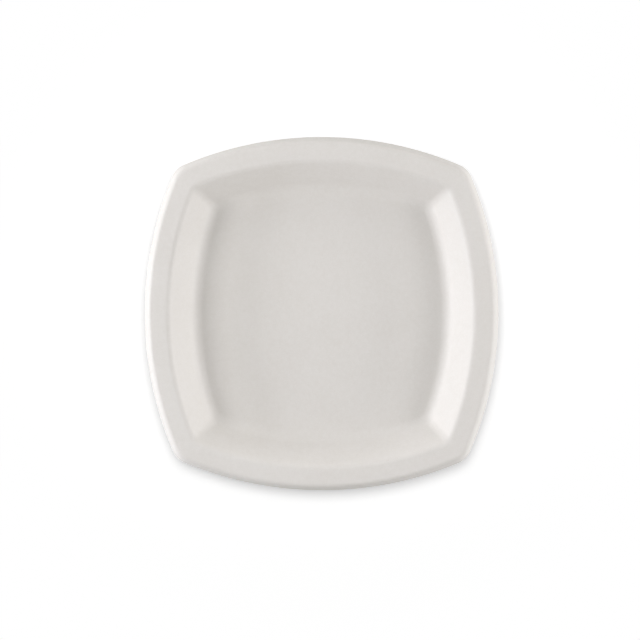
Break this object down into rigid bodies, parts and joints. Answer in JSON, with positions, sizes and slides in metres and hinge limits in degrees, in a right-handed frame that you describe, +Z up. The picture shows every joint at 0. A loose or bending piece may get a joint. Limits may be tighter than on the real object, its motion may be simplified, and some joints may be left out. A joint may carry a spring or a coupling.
{
  "type": "disposable plate",
  "caption": "Square disposable plate with bowed sides, moulded from one fibre sheet: flat floor, sloped wall, flat rim and a turned-down lip.",
  "frame": {"origin": "centre of the flat underside, on the table", "axes": "+Z up through the plate's centre, +X and +Y towards the middles of two neighbouring sides"},
  "size_m": [0.254, 0.254, 0.021],
  "materials": {
    "fibre": "satin"
  },
  "bodies": {
    "root": {"plate": "fibre"}
  },
  "joints": []
}
